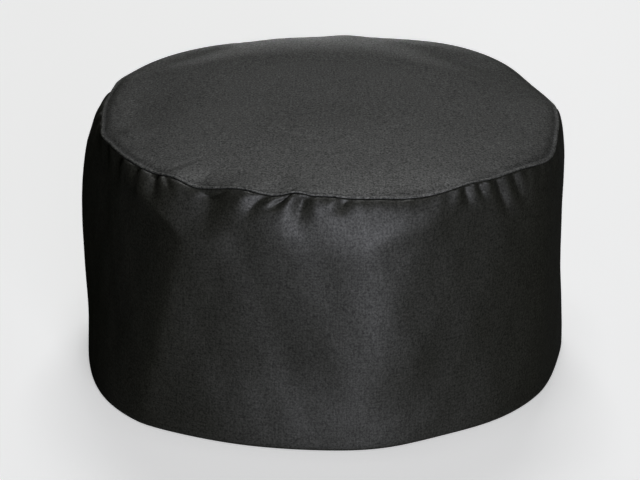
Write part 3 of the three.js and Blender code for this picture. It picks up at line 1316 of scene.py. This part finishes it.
    def heights(self, steps: Sequence[Point]) -> Array:
        """Rows of the wall, closest together just under the seam.

        Args:
            steps: Pairs of a way down the cloth at the front and the step used from there on.

        Returns:
            Parts of the way up from the rim to the seam, from the seam down to the start of the hem.
        """
        rows = spaced(steps, self.steps_reach)
        t = 1 - np.linspace(0, 1, self.path_points)[:, None] ** 3
        path = self.shape.wall(np.array([[0.0]]), t)[:, 0]
        walked = np.concatenate([[0], np.cumsum(np.linalg.norm(np.diff(path, axis=0), axis=1))])
        parts = np.interp(rows * walked[-1] / rows[-1], walked, t[:, 0])[1:]
        return parts[parts > self.hem_start / self.shape.seam_height]

    def hem_ring(self, degrees: Array, height: float, inset: float) -> Array:
        """A ring of the hem, level all round.

        Args:
            degrees: Directions.
            height: Its height over the floor.
            inset: How far inside the outer face it lies.

        Returns:
            Its points.
        """
        ring = self.ring(degrees, height / self.shape.seam_height, inset)
        ring[:, 2] = height
        return ring

    def under_crown(self, degrees: Array, inside: float, above: float) -> Array:
        """A ring of the turned-in edge, a distance inside the seam and under the crown."""
        inwards = inside / self.shape.seam_radius(degrees)
        return self.shape.crown_point(degrees, inwards, above)[0]

    def hem_profile(self) -> list[tuple[float, float, float]]:
        """Lists the hem's rows, from the fold at the rim up inside and back down behind.

        Returns:
            For each row its height, its inset and its way along the cloth beyond the wall's height.
        """
        turn, cloth, top, way = self.hem_turn, self.cloth, self.hem_height, self.hem_way
        made: list[tuple[float, float, float]] = []
        for angle in np.radians(np.linspace(90, -90, self.hem_fold_rows)):
            inset = turn * (1 - math.sin(angle))
            made.append((turn * (1 - math.cos(angle)), inset, self.shoulder_way + inset))
        made += [(height, 2 * turn, way + height) for height in self.hem_rows]
        made += [
            (top - self.hem_edge, 2 * turn - self.hem_slack, way + top),
            (top, 2 * turn - cloth / 2, way + top + 2 * self.hem_edge),
            (top - self.hem_edge, 2 * turn - cloth, way + top),
        ]
        made += [(height, 2 * turn - cloth + self.hem_lap, way + height) for height in self.hem_back_rows]
        return [*made, (turn - self.hem_foot, turn, self.shoulder_way)]

    def rings(self, degrees: Array) -> tuple[Array, Array]:
        """All rings of the closed strip, from the raw edge under the crown down the outside and back inside.

        Args:
            degrees: The columns' directions.

        Returns:
            The rings, and each one's distance along the cloth.
        """
        shape, cloth, seam_z = self.shape, self.cloth, self.shape.seam_height
        ledge = (self.allowance, *self.ledge_rows)
        made = [(self.under_crown(degrees, inside, 0), -inside) for inside in (*ledge, self.ledge_start)]
        made.append((shape.seam_point(degrees)[0], 0))
        for t in self.heights(self.outer_steps):
            made.append((self.ring(degrees, t, 0), seam_z * (1 - t) + self.shoulder_way))
        for height, inset, way in self.hem_profile():
            made.append((self.hem_ring(degrees, height, inset), seam_z + way))
        for t in self.heights(self.inner_steps)[::-1]:
            if t * seam_z > self.hem_end:
                made.append((self.ring(degrees, t, cloth), seam_z * (1 - t) + self.shoulder_way))
        made.append((shape.seam_point(degrees, cloth)[0], 0))
        made += [(self.under_crown(degrees, inside, -cloth), -inside) for inside in ledge[::-1]]
        raw_edge = self.under_crown(degrees, self.allowance + self.ledge_edge, -cloth / 2)
        made.append((raw_edge, -self.allowance))
        return np.array([ring for ring, _ in made]), np.array([way for _, way in made])

    def build(self) -> list[bpy.types.Object]:
        """Builds the band and its hem stitches and dresses them.

        Returns:
            The pieces.
        """
        columns = columns_round(self.columns)
        degrees = columns[None, :-1]
        rings, distance = self.rings(degrees)
        rim = self.shape.seam_height + self.shoulder_way + self.hem_turn
        paling = self.paling * paling_line(distance, rim, self.wear_width)
        around = np.radians(columns) * self.shape.rim.half_depth
        walked = np.append(distance[::-1], distance[-1])
        cloth_map = np.stack(np.broadcast_arrays(around[None, :], -walked[:, None]), -1)
        paling_mask = np.repeat(paling[::-1, None], self.columns, 1)
        band = RingMesh("side_band_cloth", rings[::-1], cloth_map, paling_mask, tube=True).build()
        band.data.materials.append(self.finish.material())
        height = self.hem_height - self.stitch_below_edge
        line = self.hem_ring(degrees, height, 2 * self.hem_turn + self.stitch_out)
        face = -self.shape.outwards(degrees, np.full((1, 1), height / self.shape.seam_height))[0]
        stitches = ThreadRow("hem_stitches", line, face, stitch=3.4, lift=0.05).build()
        stitches.data.materials.append(ThreadFinish(name="hem_thread").material())
        return [band, stitches]


@dataclass
class Crown:
    """The flat top: a round of cloth with its edge turned under and top-stitched.

    The rings of its edge have a distance inside the seam and a height over the underside each.
    """

    shape: HatShape
    cloth: float = 1.0
    seam_gap: float = 0.2
    columns: int = 680
    stitch_inside: float = 1.2
    stitch_above: float = 0.6
    pucker: float = 0.06
    pucker_length: float = 5
    pucker_fade: Point = (0.2, 2.6)
    crease_fade: float = 2.5
    relief_rises: Point = (0.2, 0.7)
    # Where the pale line of the rolled edge lies: a painted highlight on the lip's lit top, with some wear
    highlight_and_wear_at: float = -0.05
    highlight_and_wear_width: float = 0.42
    highlight_and_wear_above: float = 0.3
    edge_inside: Row = (
        *(0.6, 0.2, -0.05, -0.2, -0.25, -0.17, 0.02, 0.25),
        *(0.5, 0.8, 1.1, 1.4, 1.8, 2.4, 3.2, 4.1),
    )
    edge_above: Row = (
        *(-0.05, -0.1, -0.02, 0.14, 0.34, 0.53, 0.66, 0.71),
        *(0.68, 0.62, 0.59, 0.61, 0.7, 0.83, 0.94, 1),
    )
    middle: float = 1.5
    under_start: float = 0.8
    under_steps: tuple[Point, ...] = ((0, 1.4), (8, 3), (20, 6))
    over_steps: tuple[Point, ...] = ((0, 0.7), (6, 1.1), (14, 1.8), (30, 2.6))
    cut: Point = (0.192, 0.199)
    cut_area: float = 0.0303
    # Its pale edge colour and strong paling paint a highlight on the rolled edge, with some wear
    finish: ClothFinish = ClothFinish(
        name="crown_black_cloth",
        colour=(0.0195, 0.0196, 0.017),
        pale_edge_colour=(0.15, 0.152, 0.142),
        speckle=1.9,
        paling=0.95,
    )

    def relief(self, degrees: Array, inside: Array, points: Array) -> Array:
        """Small puckers that the top-stitching pulls, and the short creases near the seam.

        Args:
            degrees: Directions.
            inside: Distances inside the seam, in mm.
            points: Points of the crown.

        Returns:
            How far the cloth stands up, in mm.
        """
        far = np.exp(-((np.clip(inside, 0, None) / self.pucker_length) ** 1.5))
        pulled = self.pucker * puckers(degrees, CROWN_PUCKERS) * smooth(inside, *self.pucker_fade) * far
        creases = sum(fold.rise(points[..., 0], points[..., 1]) for fold in CROWN_CREASES)
        return pulled + creases * smooth(inside, 0, self.crease_fade)

    def edge_ring(self, degrees: Array, inside: float, above: float) -> Array:
        """A ring near the crown's edge.

        Args:
            degrees: Directions.
            inside: Its distance inside the seam.
            above: Its height over the underside.

        Returns:
            Its points.
        """
        inwards = inside / self.shape.seam_radius(degrees)
        ring = self.shape.crown_point(degrees, inwards, self.seam_gap + above)
        raised = smooth(np.array([[above]]), *self.relief_rises)
        ring[..., 2] += self.relief(degrees, np.array([[inside]]), ring) * raised
        return ring[0]

    def flat_ring(self, degrees: Array, inside: float, above: float) -> Array:
        """A ring of the flat of the crown.

        Args:
            degrees: Directions.
            inside: Its distance from the seam, measured at the front.
            above: Its height over the underside.

        Returns:
            Its points.
        """
        inwards = np.full((1, 1), inside / self.shape.seam.half_depth)
        ring = self.shape.crown_point(degrees, inwards, self.seam_gap + above)
        ring[..., 2] += self.relief(degrees, inwards * self.shape.seam_radius(degrees), ring)
        return ring[0]

    def build(self) -> list[bpy.types.Object]:
        """Builds the crown and its top-stitching and dresses them.

        Returns:
            The pieces.
        """
        degrees = columns_round(self.columns)[None, :-1]
        reach = self.shape.seam.half_depth - self.middle
        edge_reach = self.edge_inside[-1]
        under = spaced(self.under_steps, reach)[1:] + self.under_start
        over = spaced(self.over_steps, reach - edge_reach)[1:] + edge_reach
        rings = [self.flat_ring(degrees, inside, 0) for inside in under[::-1]]
        rings += [self.edge_ring(degrees, *spot) for spot in zip(self.edge_inside, self.edge_above)]
        rings += [self.flat_ring(degrees, inside, self.cloth) for inside in over]
        made = np.array(rings)
        cloth_map = np.concatenate([made, made[:, :1]], 1)[..., :2]
        # The pale line on the top of the rolled edge: a painted highlight with some wear
        edge_paling = paling_line(np.array(self.edge_inside), self.highlight_and_wear_at, self.highlight_and_wear_width)
        edge_paling *= np.array(self.edge_above) > self.highlight_and_wear_above
        paling = np.concatenate([np.zeros(len(under)), edge_paling, np.zeros(len(over))])
        paling_mask = np.repeat(paling[:, None], self.columns, 1)
        crown = RingMesh("crown_cloth_panel", made, cloth_map, paling_mask, tube=False).build()
        crown.data.materials.append(self.finish.material())
        path = self.edge_ring(degrees, self.stitch_inside, self.stitch_above)
        up = np.tile((0.0, 0.0, 1.0), (self.columns, 1))
        stitches = ThreadRow("crown_top_stitches", path, up, stitch=2.3, thickness=0.34, lift=0.0).build()
        stitches.data.materials.append(ThreadFinish(name="top_thread").material())
        return [crown, stitches]


@dataclass
class BakerHat:
    """The whole hat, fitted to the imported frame."""

    shape: HatShape = HatShape()

    def fit(self, pieces: Sequence[bpy.types.Object], measured: bpy.types.Object) -> None:
        """Moves the pieces so that the measured one stands in the middle of its CAD solid, on the floor.

        Args:
            pieces: All pieces to move alike.
            measured: The piece that stands for the side band.
        """
        low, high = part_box("side_band")
        points = np.array([vertex.co for vertex in measured.data.vertices])
        foot, top = points.min(0), points.max(0)
        middle = (foot + top) / 2
        step = Vector(((low.x + high.x) / 2 - middle[0], (low.y + high.y) / 2 - middle[1], low.z - foot[2]))
        for piece in pieces:
            piece.data.transform(Matrix.Translation(step))
            piece.data.update()

    def build(self) -> None:
        band = SideBand(shape=self.shape)
        crown = Crown(shape=self.shape)
        band_cloth, hem_stitches = band.build()
        crown_cloth, top_stitches = crown.build()
        pieces = [band_cloth, hem_stitches, crown_cloth, top_stitches]
        self.fit(pieces, band_cloth)
        for piece in pieces:
            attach(piece, "root")
        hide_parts("side_band")
        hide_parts("crown")
        for piece in pieces:
            LOG.info("%s: %d faces", piece.name, len(piece.data.polygons))


# Studio


def stand(item: bpy.types.Object, target: Vector, azimuth: float, elevation: float, distance: float) -> None:
    """Stands a light or the camera off from a target, looking at it, and links it to the scene.

    Args:
        item: The light or the camera.
        target: The point it looks at.
        azimuth: Its direction seen from above, in degrees.
        elevation: Its angle over the floor, in degrees.
        distance: How far off it stands, in metres.
    """
    turn, lift = math.radians(azimuth), math.radians(elevation)
    back = Vector((math.sin(turn) * math.cos(lift), -math.cos(turn) * math.cos(lift), math.sin(lift)))
    item.location = target + back * distance
    item.rotation_euler = (-back).to_track_quat("-Z", "Y").to_euler()
    bpy.context.scene.collection.objects.link(item)


@dataclass(frozen=True)
class SoftLight:
    """A square soft box: where it stands round the hat, how large it is and how bright."""

    name: str
    azimuth: float
    elevation: float
    power: float
    colour: Colour = (1.0, 1.0, 1.0)
    size: float = 0.5
    distance: float = 1.5

    def build(self, target: Vector) -> None:
        """Makes the light, aimed at the target.

        Args:
            target: The point it looks at.
        """
        data = bpy.data.lights.new(self.name, "AREA")
        data.shape = "SQUARE"
        data.size = self.size
        data.energy = self.power
        data.color = self.colour
        light = bpy.data.objects.new(self.name, data)
        stand(light, target, self.azimuth, self.elevation, self.distance)
        LOG.info("%s: %g W", self.name, self.power)


@dataclass(frozen=True)
class Studio:
    """A pale floor, soft light and the camera at the photograph's angle."""

    elevation: float = 22.4
    distance: float = 1.3
    lens: float = 184.9
    sensor: float = 36
    view_reach: float = 50
    aim: tuple[float, float, float] = (-0.0014, 0.0, 0.0454)
    floor_half: float = 4000
    floor_roughness: float = 0.9
    floor_specular: float = 0.2
    floor_colour: Colour = (0.86, 0.86, 0.86)
    floor_bounce: Colour = (0.02, 0.022, 0.01)
    floor_glow: Colour = (0.48, 0.48, 0.48)
    no_glow: Colour = (0, 0, 0)
    world_seen: Colour = (0.92, 0.92, 0.92)
    world_light: Colour = (0.003, 0.004, 0.001)
    lights: tuple[SoftLight, ...] = (
        SoftLight("front_box", azimuth=12, elevation=1, power=22, colour=(0.9, 0.91, 1.0)),
        SoftLight("back_box", azimuth=176, elevation=58, power=6.4, colour=(0.98, 0.99, 0.99)),
        SoftLight("rear_box", azimuth=180, elevation=-3.5, power=5, size=0.2),
        SoftLight("top_box", azimuth=0, elevation=84, power=3),
    )

    def floor(self) -> None:
        """Lays the pale floor, which sends little light back up to the dark cloth."""
        square = np.array([(-1, -1, 0), (1, -1, 0), (1, 1, 0), (-1, 1, 0)])
        piece = new_piece("floor", square * self.floor_half, [(0, 1, 2, 3)])
        made, sheet = new_material("pale_floor")
        seen = sheet.put("ShaderNodeLightPath").outputs["Is Camera Ray"]
        sheet.surface(
            {
                "Base Color": sheet.mix(seen, self.floor_bounce, self.floor_colour),
                "Roughness": self.floor_roughness,
                "Specular IOR Level": self.floor_specular,
                "Emission Color": sheet.mix(seen, self.no_glow, self.floor_glow),
                "Emission Strength": 1.0,
            }
        )
        piece.data.materials.append(made)

    def world(self) -> None:
        """Sets a dim even sky that looks pale behind the floor."""
        world = bpy.data.worlds.new("studio")
        world.use_nodes = True
        sheet = NodeSheet(world.node_tree)
        seen = sheet.put("ShaderNodeLightPath").outputs["Is Camera Ray"]
        colour = sheet.mix(seen, self.world_light, self.world_seen)
        sky = sheet.put("ShaderNodeBackground", {"Color": colour, "Strength": 1.0})
        sheet.put("ShaderNodeOutputWorld", {"Surface": sky.outputs[0]})
        bpy.context.scene.world = world

    def camera(self) -> None:
        """Stands the camera straight in front and a little above."""
        data = bpy.data.cameras.new("camera")
        data.lens = self.lens
        data.sensor_width = self.sensor
        data.clip_end = self.view_reach
        camera = bpy.data.objects.new("camera", data)
        stand(camera, Vector(self.aim), 0, self.elevation, self.distance)
        bpy.context.scene.camera = camera

    def build(self) -> None:
        """Sets up the floor, the sky, the camera and the lights."""
        self.floor()
        self.world()
        self.camera()
        for light in self.lights:
            light.build(Vector(self.aim))
        bpy.context.scene.view_settings.view_transform = "Standard"


def corners(box: tuple[Vector, Vector]) -> list[list[float]]:
    """A box's two corners as plain lists."""
    return [[round(value, 6) for value in corner] for corner in box]


def main() -> None:
    """Builds the hat on the frame, then the studio round it."""
    logging.basicConfig(level=logging.INFO, format="%(message)s")
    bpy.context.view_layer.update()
    BakerHat().build()
    Studio().build()
    LOG.info("hat built on the frame")


if __name__ == "__main__":
    main()
